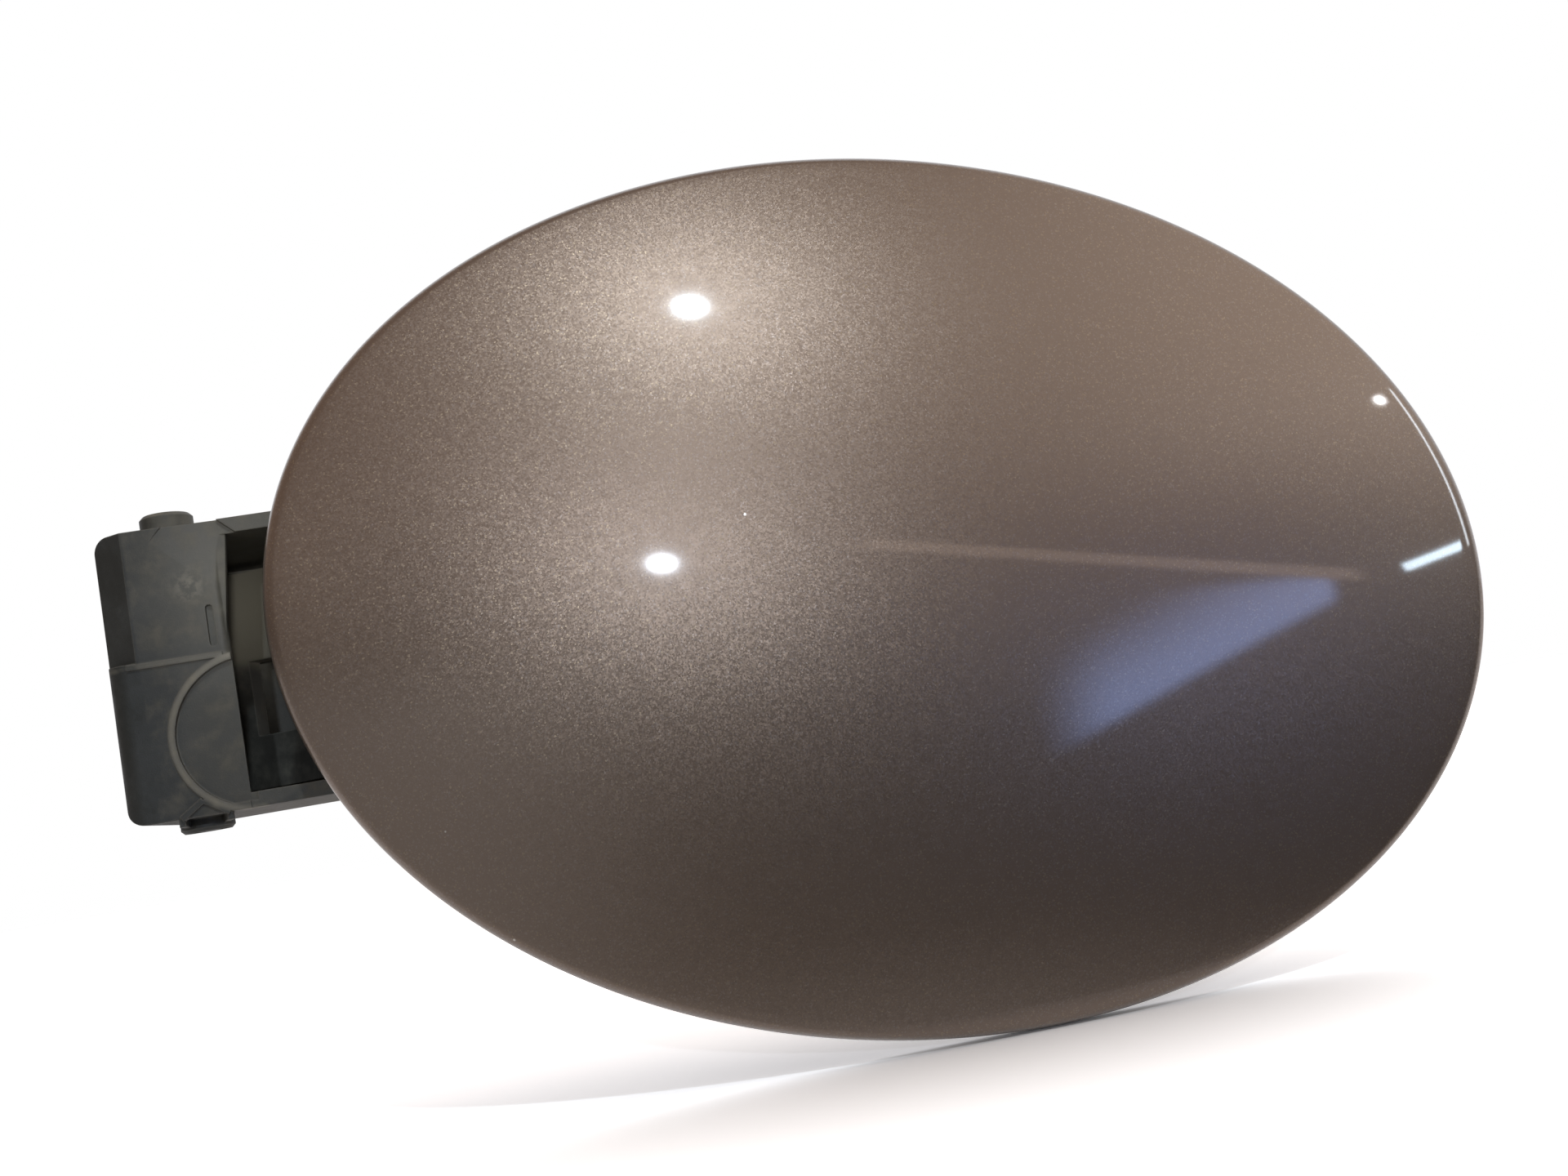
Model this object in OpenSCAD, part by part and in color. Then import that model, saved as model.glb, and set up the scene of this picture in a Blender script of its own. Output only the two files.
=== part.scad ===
// Car fuel door: a painted oval flap on a goose-neck arm that turns in a moulded hinge housing.
// The door faces -Y, the hinge pin stands along Z, and the origin is midway between the two
// screw holes on the back face of the housing's flange, where it is screwed to the car body.

/* [Door panel] */
// Long diameter of the oval door
door_l = 180; // [160:1:210]
// Short diameter of the oval door
door_h = 129; // [116:1:150]
// Turn of the long diameter, clockwise as seen from outside the car
door_tilt = 10.8; // [0:0.1:20]
// Radius of the crown along the long diameter
crown_r = 400; // [340:5:700]
// Outer radius of the rolled rim
rim_r = 2.5; // [1.8:0.1:3.5]
// Thickness of the outer skin
skin_t = 0.8; // [0.6:0.05:1.1]
// Depth of the turned edge behind the widest line of the rim
rim_depth = 3.4; // [3:0.1:5]
// Width of the hem that is folded over the inner panel
hem_w = 8; // [6:0.5:9]
// Outer radius of the hem's fold
hem_r = 1.2; // [1.1:0.05:1.5]
// Thickness of the inner panel
pan_t = 0.8; // [0.6:0.05:1.1]
// Gap between the inner panel's edge and the skin's turned edge
pan_edge_gap = 0.5; // [0.4:0.05:0.8]
// Width of the inner panel's flat edge, from the rim to the start of its step
pan_flange_w = 11; // [10:0.5:14]
// Width of the sloping step inside that edge
pan_step_w = 4; // [3:0.25:6]
// Height of the pan's floor, in front of the rim's widest line, at its back face
pan_floor = 1.4; // [0.8:0.1:2]
// Radius of the stiffening bead in the pan's floor, along the long diameter
bead_r = 52; // [51:0.5:56]
// Height of the bead
bead_h = 1.2; // [0.6:0.1:1.6]
// Width of the bead
bead_w = 4; // [3:0.25:6]
// Diameter of the mastic pads between skin and inner panel
mastic_d = 10; // [6:0.5:14]
// Distance of the mastic pads from the door's centre along X
mastic_x = 34; // [30:1:38]
// Distance of the mastic pads from the door's centre along Z
mastic_z = 38; // [34:1:40]
// Diameter of the drain holes in the inner panel
drain_d = 5; // [3:0.5:7]

/* [Arm seat] */
// Width of the raised seat for the hinge arm
seat_w = 52; // [50:1:56]
// Height of the raised seat
seat_h = 40; // [38:1:42]
// Corner radius of the raised seat
seat_r = 6; // [4:0.5:9]
// How far the seat's face stands behind the rim's widest line
seat_back = 5; // [4.6:0.1:6]
// Distance of the seat's middle from the door's centre, toward the hinge
seat_x = 40; // [38:0.5:41]
// Thickness of the reinforcing plate inside the seat
plate_t = 1.5; // [1:0.1:2.5]
// Gap round the reinforcing plate
plate_gap = 1.2; // [0.8:0.1:2]
// Diameter of the arm screws
arm_screw_d = 5; // [4:0.5:6]
// Diameter of an arm screw's head
arm_head_d = 9.5; // [8:0.25:11]
// Height of an arm screw's head
arm_head_h = 3; // [2:0.25:4]
// Width across the corners of a weld nut
nut_d = 9.2; // [8.5:0.1:10.5]
// Height of a weld nut
nut_h = 4; // [3:0.25:5]
// Distance from the seat's upper and lower edges to the two screws at its hinge end
arm_screw_rim = 8; // [7:0.5:10]
// Distance from the seat's hinge end to those two screws
arm_screw_in = 7; // [6:0.5:9]
// Distance from the seat's other end to the single screw
arm_screw_out = 9; // [8:0.5:11]
// Room round a screw's shank in the sheet and the plate
arm_screw_room = 0.4; // [0.3:0.05:0.6]

/* [Hinge] */
// Distance from the long diameter's end to the pin along X
pin_out = 14; // [13:0.5:20]
// Depth of the pin behind the widest line of the rim
pin_depth = 19; // [18:0.25:21]
// Height of the hinge's middle above the door's centre
hinge_rise = 5.5; // [3:0.25:8]
// Diameter of the hinge pin
pin_d = 4; // [3.5:0.1:4.6]
// Running clearance between round pieces of the hinge
run_gap = 0.05; // [0.02:0.01:0.1]
// Clearance between flat faces that seat on each other
seat_gap = 0.05; // [0.02:0.01:0.1]
// Clearance between pieces that move past each other
free_gap = 0.3; // [0.25:0.05:0.5]
// Wall of the plastic bushes
bush_wall = 1; // [0.8:0.05:1.2]
// Thickness of a bush's flange
bush_flange = 1; // [0.8:0.1:1.4]
// Radius of a bush's flange
bush_flange_r = 4.8; // [4.4:0.1:5.2]
// Distance that a bush stops short of the lower knuckle's inner end
bush_short = 0.45; // [0.2:0.05:2.4]
// Outer radius of the arm's knuckles
knuckle_r = 5.2; // [4.8:0.05:5.5]
// Top of the gap between the two knuckles, above the hinge's middle
spring_top = 3; // [2:0.25:4]
// Bottom of the gap between the two knuckles, below the hinge's middle
spring_bottom = 9; // [8:0.25:10]
// Thickness of the arm's two legs
leg_t = 4.4; // [3.6:0.1:5]
// Inner radius of the goose-neck about the pin
neck_r = 21; // [19:0.25:21.5]
// Thickness of the goose-neck
neck_t = 4; // [3:0.1:4.5]
// Angle about the pin where the window in the neck begins
window_from = 30; // [20:1:36]
// Angle about the pin where the window in the neck ends
window_to = 74; // [60:1:78]
// Thickness of the arm's pad behind the door
pad_t = 3; // [2.5:0.1:4]
// Height of the arm's pad at its far end
pad_end_h = 18; // [16:0.5:24]
// Length of the pad's narrowing end
pad_taper = 40; // [34:1:42]
// Distance from the single screw to the pad's far end
pad_rim = 7; // [6:0.5:8]
// Thickness of the ribs on the arm
arm_rib_t = 2; // [1.5:0.1:3]
// Height of the ribs on the arm's pad
arm_rib_h = 6; // [4:0.25:8]

/* [Housing] */
// Height of the housing over its top and bottom walls
housing_h = 42; // [40:0.5:46]
// Distance from the pin to the housing's left face
housing_left = 9.5; // [8:0.1:10]
// Distance from the pin to the right edge of the front wall
housing_right = 8; // [7:0.1:9]
// Distance from the pin to the housing's front face
housing_front = 9; // [8.8:0.1:10.5]
// Room between the goose-neck and the housing's back wall
neck_room = 1.5; // [1:0.1:3]
// Thickness of the top, bottom and front walls
wall_t = 2.2; // [1.8:0.1:2.4]
// Thickness of the left wall
side_t = 2; // [1.6:0.1:2.2]
// Thickness of the back wall and its screw flange
flange_t = 3; // [2.5:0.1:3.5]
// Reach of the top and bottom walls to the right of the pin
cheek_reach = 22; // [20:0.5:23]
// Distance from the pin to the screw holes along X
screw_reach = 25; // [25:0.25:28]
// Distance between the two screw holes
screw_gap = 28; // [24:0.5:30]
// Distance from the screw holes to the flange's right edge
flange_edge = 6; // [5.5:0.25:8]
// Radius of the flange's corners
flange_r = 4; // [3:0.25:5]
// Distance from the pin back to where the top and bottom walls widen to the flange
cheek_back = 6; // [4:0.25:8]
// Outer radius of the steel sleeves in the screw holes
sleeve_r = 4.5; // [4:0.1:4.8]
// Radius of the screw holes through the sleeves
screw_hole_r = 3.2; // [2.6:0.1:3.4]
// Radius of the bosses that hold the pin
boss_r = 3.85; // [3.6:0.05:4.4]
// Height of the upper boss
boss_top_h = 3.3; // [2:0.1:4]
// Height of the lower boss
boss_bottom_h = 2; // [1.6:0.1:3.2]
// Chamfer on the bosses' ends
boss_edge = 0.5; // [0.2:0.05:0.6]
// Radius of the box's upright edge at the front left
front_corner = 3; // [2.2:0.1:3.4]
// Radius of the box's upper left corner, seen from the front
top_corner = 2.2; // [1.5:0.1:3]
// Radius of the lower left corner, seen from the front
low_corner = 3; // [2:0.1:4]
// Width of the bevel on the front wall's left edge, above the parting line
bevel_w = 4.4; // [3:0.1:4.8]
// Depth of that bevel
bevel_d = 3.3; // [2:0.1:3.6]
// Leg of the fillet inside the front left edge
inner_fill = 3; // [2:0.1:3.4]
// How far the front wall's right edge flares out at its top
flare_w = 1.4; // [0.8:0.1:1.4]
// Slope of the flare, back for each unit to the right
flare_slope = 0.33; // [0.2:0.01:0.4]
// Distance of the facet's lower corner from the front wall's right edge
facet_in = 2.4; // [1.5:0.1:4]
// Distance of that corner below the box's top
facet_drop = 8.2; // [6:0.1:10]
// Angle of the diagonal line under the facet
facet_angle = 42.6; // [35:0.1:50]
// How far the facet leans back
facet_tilt = 6; // [3:0.5:7]
// Width of the slot near the front wall's right edge
slot_w = 1; // [0.6:0.05:1.2]
// Length of that slot
slot_l = 6; // [4:0.25:8]
// Depth of that slot
slot_d = 0.8; // [0.4:0.05:1]
// Thickness of the two gusset ribs under the lower boss's side of the box
gusset_t = 0.9; // [0.6:0.05:1.2]
// Height of those ribs
gusset_h = 1.1; // [0.8:0.05:1.5]
// Height of the line that parts the front wall, above the hinge's middle
parting_z = 1; // [0:0.25:2]
// Width of the raised lines on the front wall
ridge_w = 1; // [0.6:0.1:1.4]
// Height of the raised lines
ridge_h = 0.4; // [0.2:0.05:0.7]
// Radius of the half-round line on the front wall
arc_r = 11.2; // [10:0.1:11.8]
// Distance from the front wall's right edge to the centre of that line
arc_in = 1.6; // [0.5:0.1:2.4]
// Depth of the half-round panel inside that line
arc_sink = 0.5; // [0.2:0.05:0.8]

/* [Spring, clip and stop] */
// Diameter of the spring's wire
wire_d = 1.4; // [1:0.05:1.5]
// Mean radius of the spring's coil
coil_r = 4; // [3.95:0.05:4.2]
// Number of turns in the coil
coil_turns = 5; // [3:1:6]
// Length of the spring's two ends
spring_leg = 13; // [10:0.5:15]
// Length of the hook at the spring's lower end
spring_hook = 5; // [4:0.25:6]
// Wall of the sleeve inside the spring
spool_wall = 0.9; // [0.6:0.05:1]
// Thickness of the clip on the pin
clip_t = 0.7; // [0.5:0.05:1]
// Outer radius of the clip
clip_r = 2.9; // [2.6:0.05:3]
// Depth of the clip's recess in the lower boss
clip_recess = 1.2; // [1:0.05:1.5]
// Depth of the pin's groove
groove_d = 0.4; // [0.25:0.05:0.6]
// Height of the rubber stop in the housing
stop_h = 9; // [6:0.5:11]
// Thickness of the rubber stop
stop_t = 2.8; // [2:0.1:2.9]
// Width of the rubber stop
stop_w = 3.2; // [2.5:0.1:3.4]
// Distance of the rubber stop above the gap between the knuckles
stop_rise = 3; // [1:0.25:4]

/* [Latch and fittings] */
// Distance from the door's centre to the latch seat's middle along X
latch_x = 56; // [54:0.5:57]
// Distance of the latch seat's middle below the door's centre
latch_drop = 8; // [6:0.5:10]
// Width of the latch seat
latch_seat_w = 22; // [21:0.5:24]
// Height of the latch seat
latch_seat_h = 22; // [21:0.5:24]
// How far the latch seat's face stands behind the rim's widest line
latch_back = 2.6; // [2.2:0.1:3.2]
// Corner radius of the latch seat
latch_seat_r = 4; // [3:0.25:5]
// Gap round the striker's plate on its seat
striker_rim = 1.5; // [1:0.1:2]
// Thickness of the striker's plate
striker_t = 1.8; // [1.4:0.1:2.2]
// Length of the striker's tongue behind its plate
tongue_l = 20; // [16:0.5:24]
// Width of the striker's tongue
tongue_w = 12; // [11:0.5:14]
// Radius of the eye that takes the lock pin
eye_r = 3.3; // [2.6:0.1:3.8]
// Diameter of the striker screws
striker_screw_d = 4; // [3:0.25:4.5]
// Distance from the latch seat's upper and lower edges to the striker screws
striker_screw_rim = 5; // [4.75:0.05:5.5]
// Distance from the latch seat's middle to the striker screws, toward the hinge
striker_screw_x = 5; // [4:0.25:6]
// Diameter of a striker screw's head
striker_head_d = 7.5; // [7:0.1:8]
// Height of a striker screw's head
striker_head_h = 2.4; // [2:0.1:3]
// Width across the corners of a striker nut
striker_nut_d = 7.6; // [7:0.1:8]
// Height of a striker nut
striker_nut_h = 3.2; // [2.5:0.1:4]
// Distance from the door's centre to the rubber buffers along the long diameter
buffer_x = 53; // [50:0.5:55]
// Distance from the long diameter to the rubber buffers
buffer_y = 27; // [25:0.5:29]
// Diameter of a buffer's head
buffer_d = 9; // [7:0.25:10]
// Height of a buffer behind the inner panel
buffer_h = 6; // [4:0.25:8]
// Radius of a buffer's neck in the inner panel
buffer_neck = 2.4; // [2:0.1:2.8]
// Radius of the barb that holds a buffer
buffer_barb = 3.3; // [3:0.1:3.8]
// Height of that barb
buffer_barb_h = 2.4; // [1.8:0.1:3]
// Distance from the door's centre to the cap holder along X
holder_x = 16; // [14:0.5:20]
// Distance from the door's centre up to the cap holder
holder_z = 16; // [12:0.5:20]
// Width of the cap holder over its two arms
holder_w = 22; // [20:0.5:26]
// Height of the cap holder
holder_h = 20; // [16:0.5:22]
// Depth of the cap holder behind its base
holder_d = 12; // [9:0.25:14]
// Thickness of the cap holder's walls
holder_t = 2; // [1.6:0.1:2.6]
// Corner radius of the cap holder's base
holder_r = 3; // [2:0.25:4]
// Width of the lips on the cap holder's arms
holder_lip = 3.5; // [2.5:0.1:4]
// Diameter of the cap holder's rivets
rivet_d = 3.5; // [3:0.1:4]
// Distance of the rivets above the cap holder's middle
rivet_rise = 2; // [1:0.25:3]
// Radius of a rivet's head
rivet_head_r = 3; // [2.6:0.1:3.2]
// Height of a rivet's head
rivet_head_h = 1.4; // [1:0.1:1.8]
// Radius of a rivet's closed end
rivet_end_r = 2.6; // [2.3:0.1:3]
// Height of a rivet's closed end
rivet_end_h = 2.4; // [1.8:0.1:3]
// Distance of a drain hole from the short diameter
drain_x = 20; // [16:0.5:24]
// Distance of a drain hole from the long diameter, drawn before the oval is narrowed
drain_y = 44; // [40:0.5:46]

/* [Hidden] */
$fn = 96;
overcut = 1;
paint = "#6b5a4e";
black_plastic = "#2b2c2a";

// The oval is a round form drawn at the long radius and narrowed by this ratio.
door_r = door_l / 2;
oval = door_h / door_l;
crown_z = sqrt(pow(crown_r - rim_r, 2) - pow(door_r - rim_r, 2));
crown_h = crown_r - crown_z;
roll_angle = asin((door_r - rim_r) / (crown_r - rim_r));

// Levels along the door's depth, measured forward from the widest line of the rim.
hem_back = -rim_depth;
hem_front = hem_back + skin_t;
pan_back = hem_front + seat_gap;
floor_front = pan_floor + pan_t;
pan_r = door_r - skin_t - pan_edge_gap;
floor_r = door_r - pan_flange_w - pan_step_w;
inner_r = seat_r - pan_t;

// Places of the hinge and the door in the frame of the mounting face.
housing_back = neck_r + neck_t + neck_room + flange_t;
pin_reach = door_r + pin_out;
pin_x = -screw_reach;
pin_y = -housing_back;
door_x = pin_x + pin_reach;
door_y = pin_y - pin_depth;
door_z = -hinge_rise;

// Heights along the pin.
housing_z = housing_h / 2;
inside_z = housing_z - wall_t;
knuckle_z = inside_z - free_gap - bush_flange - seat_gap;
pin_r = pin_d / 2;
bush_in = pin_r + run_gap;
bush_out = bush_in + bush_wall;
bush_l = knuckle_z - spring_bottom - bush_short;
pin_chamfer = 0.1 * pin_d;
boss_cap = 1.2;
boss_foot = -housing_z - boss_bottom_h;
clip_z = boss_foot + clip_recess - seat_gap;
pin_tail = boss_foot + seat_gap;
pin_top = housing_z + boss_top_h - boss_cap;

// Arm and seat.
arm_screw_side = seat_h / 2 - arm_screw_rim;
arm_screws_at = [[arm_screw_in - seat_w / 2, arm_screw_side],
    [arm_screw_in - seat_w / 2, -arm_screw_side], [seat_w / 2 - arm_screw_out, 0]];
arm_hole_r = arm_screw_d / 2 + arm_screw_room;
seat_middle = [-seat_x, hinge_rise];
pad_front = -seat_back - seat_gap;
pad_back = pad_front - pad_t;
plate_back = -seat_back + pan_t + seat_gap;
plate_front = plate_back + plate_t;
neck_out = neck_r + neck_t;
arc_drop = sqrt(arc_r * arc_r - arc_in * arc_in) - parting_z;

// Latch seat.
latch_middle = [latch_x, -latch_drop];
striker_side = latch_seat_h / 2 - striker_screw_rim;
striker_screws_at = [[-striker_screw_x, striker_side], [-striker_screw_x, -striker_side]];
striker_hole_r = striker_screw_d / 2 + 0.3;
striker_front = -latch_back - seat_gap;
striker_back = striker_front - striker_t;
tongue_x = latch_seat_w / 2 - striker_t - 1;
tongue_tip = -tongue_l + tongue_w / 2;
holder_rivets_at = [[-holder_w / 4, rivet_rise], [holder_w / 4, rivet_rise]];
rivet_hole_r = rivet_d / 2 + 0.2;
holder_middle = [holder_x, holder_z];
holder_front = pan_floor - seat_gap;

// The spring's wire: its upper end rests on the housing's left wall, and its lower end is hooked
// behind the arm's lower leg.
wire_room = wire_d / 2 + 0.1;
coil_top = spring_top - wire_room - 0.1;
coil_bottom = -spring_bottom + wire_room + 0.1;
spring_sides = 8;
turn_steps = 16;
upper_end = -housing_left + side_t + wire_room;
lower_end = leg_t / 2 + wire_room;
coil_steps = coil_turns * turn_steps + turn_steps / 2;
coil_points = [for (i = [0:coil_steps]) let (t = 180 + 360 * i / turn_steps)
    [coil_r * cos(t), coil_r * sin(t), coil_top + (coil_bottom - coil_top) * i / coil_steps]];
spring_path = concat([[upper_end, spring_leg, coil_top + 3], [upper_end, spring_leg, coil_top + 1],
    [upper_end, spring_leg - 1, coil_top], [-coil_r, 1, coil_top]], coil_points,
    [[coil_r, 1, coil_bottom], [lower_end, spring_leg - 1, coil_bottom],
    [lower_end, spring_leg, coil_bottom - 1], [lower_end, spring_leg, coil_bottom - spring_hook]]);

// Points of an arc, in steps from angle a to angle b.
function arc(x, y, r, a, b, steps) =
    [for (i = [0:steps]) let (t = a + (b - a) * i / steps) [x + r * cos(t), y + r * sin(t)]];

// Depth of the skin's inner face at a place on the door, in the door's own turned axes.
function skin_inside(x, y) =
    sqrt(pow(crown_r - skin_t, 2) - x * x - pow(y / oval, 2)) - crown_z;

// A place in the hinge's square axes, turned into the oval's axes.
function turned(p) = [p[0] * cos(door_tilt) - p[1] * sin(door_tilt),
    p[0] * sin(door_tilt) + p[1] * cos(door_tilt)];

// Puts a form drawn flat, with its front up, on the door in the hinge's square axes.
module on_door() {
    translate([door_x, door_y, door_z]) rotate([90, 0, 0]) children();
}

// Puts a form on the door in the axes of the turned oval.
module on_oval() {
    on_door() rotate([0, 0, -door_tilt]) children();
}

// Puts a form drawn about the pin at the hinge's middle.
module at_pin() {
    translate([pin_x, pin_y, 0]) children();
}

// A flat plate with rounded corners, centred, from z = 0 up.
module rounded_plate(w, h, r, t) {
    linear_extrude(t) {
        square([w, h - 2 * r], center = true);
        square([w - 2 * r, h], center = true);
        for (x = [-1, 1], y = [-1, 1]) translate([x * (w / 2 - r), y * (h / 2 - r)]) circle(r);
    }
}

// A tube from z = 0 up.
module tube(outer, inner, h) {
    difference() {
        cylinder(r = outer, h = h);
        translate([0, 0, -overcut]) cylinder(r = inner, h = h + 2 * overcut);
    }
}

// A round rod from z = 0 up with both ends chamfered.
module chamfered_rod(r, h, c) {
    cylinder(r1 = r - c, r2 = r, h = c);
    translate([0, 0, c]) cylinder(r = r, h = h - 2 * c);
    translate([0, 0, h - c]) cylinder(r1 = r, r2 = r - c, h = c);
}

// Section of the skin, from the door's middle out to the hem: the crown is a true arc, and the
// inside is the same form smaller by the thickness of the sheet.
module skin_section() {
    roll = 90 - roll_angle;
    over = crown_h + 2;
    outside = concat([[0, hem_back]], arc(door_r - hem_r, hem_back + hem_r, hem_r, -90, 0, 4),
        arc(door_r - rim_r, 0, rim_r, 0, roll, 6),
        [[door_r - rim_r + rim_r * cos(roll), over], [0, over]]);
    inside = concat([[0, hem_back - 1], [door_r - hem_w, hem_back - 1], [door_r - hem_w, hem_front]],
        arc(door_r - hem_r, hem_back + hem_r, hem_r - skin_t, -90, 0, 3),
        arc(door_r - rim_r, 0, rim_r - skin_t, 0, roll, 5),
        [[door_r - rim_r + (rim_r - skin_t) * cos(roll), over], [0, over]]);
    difference() {
        intersection() {
            translate([0, -crown_z]) circle(crown_r, $fn = 720);
            polygon(outside);
        }
        intersection() {
            translate([0, -crown_z]) circle(crown_r - skin_t, $fn = 720);
            polygon(inside);
        }
    }
}

// Painted steel skin: a crowned oval with a rolled rim whose edge is folded flat behind.
module outer_panel() {
    color(paint) on_oval() for (q = [0:3]) scale([1, oval, 1]) rotate([0, 0, 90 * q])
        rotate_extrude(angle = 90, $fn = 180) skin_section();
}

// Pressed steel inner panel: its edge is held in the hem, a step leads to the pan's flat floor,
// and two raised seats carry the hinge arm and the latch striker.
module inner_panel() {
    step_in = door_r - pan_flange_w;
    bead = [[-bead_w / 2, 0], [-bead_w / 4, -bead_h], [bead_w / 4, -bead_h], [bead_w / 2, 0]];
    back_line = concat([[0, pan_floor]], [for (p = bead) p + [bead_r, pan_floor]],
        [[floor_r, pan_floor], [step_in, pan_back], [pan_r, pan_back]]);
    profile = concat(back_line,
        [for (i = [len(back_line) - 1:-1:0]) back_line[i] + [0, pan_t]]);
    color(paint) difference() {
        union() {
            on_oval() scale([1, oval, 1]) rotate_extrude($fn = 180) polygon(profile);
            on_door() translate([seat_middle[0], seat_middle[1], -seat_back])
                rounded_plate(seat_w, seat_h, seat_r, seat_back + floor_front);
            on_door() translate([latch_middle[0], latch_middle[1], -latch_back])
                rounded_plate(latch_seat_w, latch_seat_h, latch_seat_r, latch_back + floor_front);
        }
        on_door() {
            translate([seat_middle[0], seat_middle[1], -seat_back + pan_t])
                rounded_plate(seat_w - 2 * pan_t, seat_h - 2 * pan_t, inner_r, seat_back + crown_h);
            for (p = arm_screws_at)
                translate([seat_middle[0] + p[0], seat_middle[1] + p[1], -seat_back - overcut])
                    cylinder(r = arm_hole_r, h = pan_t + 2 * overcut);
            translate([latch_middle[0], latch_middle[1], -latch_back + pan_t])
                rounded_plate(latch_seat_w - 2 * pan_t, latch_seat_h - 2 * pan_t,
                    latch_seat_r - pan_t, latch_back + crown_h);
            for (p = striker_screws_at)
                translate([latch_middle[0] + p[0], latch_middle[1] + p[1], -latch_back - overcut])
                    cylinder(r = striker_hole_r, h = pan_t + 2 * overcut);
            for (p = holder_rivets_at)
                translate([holder_middle[0] + p[0], holder_middle[1] + p[1], pan_floor - overcut])
                    cylinder(r = rivet_hole_r, h = pan_t + 2 * overcut);
        }
        on_oval() {
            for (y = [-1, 1]) translate([buffer_x, y * buffer_y, pan_floor - overcut])
                cylinder(r = buffer_neck + 0.1, h = pan_t + 2 * overcut);
            for (x = [-1, 1]) translate([x * drain_x, -drain_y, pan_floor - overcut])
                cylinder(d = drain_d, h = pan_t + 2 * overcut);
        }
    }
}

// Steel plate inside the arm seat that spreads the load of the three screws.
module reinforcement_plate() {
    gap = pan_t + plate_gap;
    color("#8d8f8c") on_door() translate([seat_middle[0], seat_middle[1], plate_back])
        difference() {
            rounded_plate(seat_w - 2 * gap, seat_h - 2 * gap, seat_r - gap, plate_t);
            for (p = arm_screws_at) translate([p[0], p[1], -overcut])
                cylinder(r = arm_hole_r, h = plate_t + 2 * overcut);
        }
}

// Three hexagonal nuts on the reinforcing plate.
module weld_nuts() {
    color("#a9a9a4") on_door() for (p = arm_screws_at)
        translate([seat_middle[0] + p[0], seat_middle[1] + p[1], plate_front + seat_gap])
            difference() {
                cylinder(d = nut_d, h = nut_h, $fn = 6);
                translate([0, 0, -overcut])
                    cylinder(r = arm_screw_d / 2 + run_gap, h = nut_h + 2 * overcut);
            }
}

// Soft mastic pads that stop the skin from drumming on the inner panel.
module mastic_pads() {
    color("#3a3a38") on_door() for (x = [-1, 1], z = [-1, 1]) {
        p = turned([x * mastic_x, z * mastic_z]);
        far = [abs(p[0]) + mastic_d / 2, abs(p[1]) + mastic_d / 2];
        translate([x * mastic_x, z * mastic_z, floor_front + seat_gap])
            cylinder(d = mastic_d, h = skin_inside(far[0], far[1]) - floor_front - seat_gap);
    }
}

// One knuckle of the arm with the leg that joins it to the goose-neck, between two heights.
module arm_leg(z0, z1) {
    translate([0, 0, z0]) {
        cylinder(r = knuckle_r, h = z1 - z0);
        translate([-leg_t / 2, 0, 0]) cube([leg_t, neck_r + neck_t / 2, z1 - z0]);
    }
}

// Plastic goose-neck arm: two knuckles, a curved neck that clears the edge of the car body,
// and a ribbed pad that is screwed to the seat of the inner panel.
module hinge_arm() {
    arm_h = 2 * knuckle_z;
    seat_reach = pin_reach - seat_x;
    pad_far = seat_reach + seat_w / 2 - arm_screw_out + pad_rim;
    rib_far = seat_reach - seat_w / 2 + arm_screw_in - arm_head_d / 2 - 1;
    rib_top = min(neck_out + arm_rib_h - 1, rib_far - 1);
    color(black_plastic) at_pin() difference() {
        union() {
            arm_leg(spring_top, knuckle_z);
            arm_leg(-knuckle_z, -spring_bottom);
            translate([0, 0, -knuckle_z]) rotate_extrude(angle = 90)
                translate([neck_r, 0]) square([neck_t, arm_h]);
            translate([-leg_t / 2, neck_r, -knuckle_z]) cube([leg_t, neck_t, arm_h]);
            translate([neck_r, -pin_depth - pad_front, -knuckle_z])
                cube([neck_t, pin_depth + pad_front, arm_h]);
            translate([0, -pin_depth - pad_front, 0]) rotate([90, 0, 0]) translate([0, 0, -pad_t])
                linear_extrude(pad_t) polygon([[neck_r, -knuckle_z],
                    [pad_far - pad_taper, -knuckle_z], [pad_far, -pad_end_h / 2],
                    [pad_far, pad_end_h / 2], [pad_far - pad_taper, knuckle_z],
                    [neck_r, knuckle_z]]);
            for (z = [-knuckle_z, -arm_rib_t / 2, knuckle_z - arm_rib_t])
                translate([0, -pin_depth - pad_back, z]) linear_extrude(arm_rib_t)
                    polygon([[neck_out - 1, pin_depth + pad_back - 1], [neck_out - 1, -1],
                        [rib_far, -1], [rib_far, 1], [rib_top, arm_rib_h]]);
        }
        for (z = [spring_top, -knuckle_z]) translate([0, 0, z - overcut])
            cylinder(r = bush_out + run_gap, h = knuckle_z + 2 * overcut);
        translate([0, 0, -spring_bottom]) rotate([0, 0, window_from])
            rotate_extrude(angle = window_to - window_from) translate([neck_r - overcut, 0])
                square([neck_t + 2 * overcut, spring_top + spring_bottom]);
        for (p = arm_screws_at)
            translate([seat_reach + p[0], -pin_depth - pad_front - overcut, p[1]])
                rotate([-90, 0, 0]) cylinder(r = arm_hole_r, h = pad_t + 2 * overcut);
    }
}

// Pan-head screw along +z, its head under z = 0 and its shank l long above it.
module pan_screw(d, head_d, head_h, l) {
    difference() {
        union() {
            translate([0, 0, -head_h * 0.45]) cylinder(d = head_d, h = head_h * 0.45);
            translate([0, 0, -head_h]) cylinder(d1 = head_d * 0.6, d2 = head_d, h = head_h * 0.55);
            cylinder(d = d, h = l);
        }
        for (a = [0, 90]) rotate([0, 0, a])
            translate([-head_d * 0.25, -head_d * 0.05, -head_h - overcut])
                cube([head_d * 0.5, head_d * 0.1, head_h * 0.6 + overcut]);
    }
}

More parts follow.
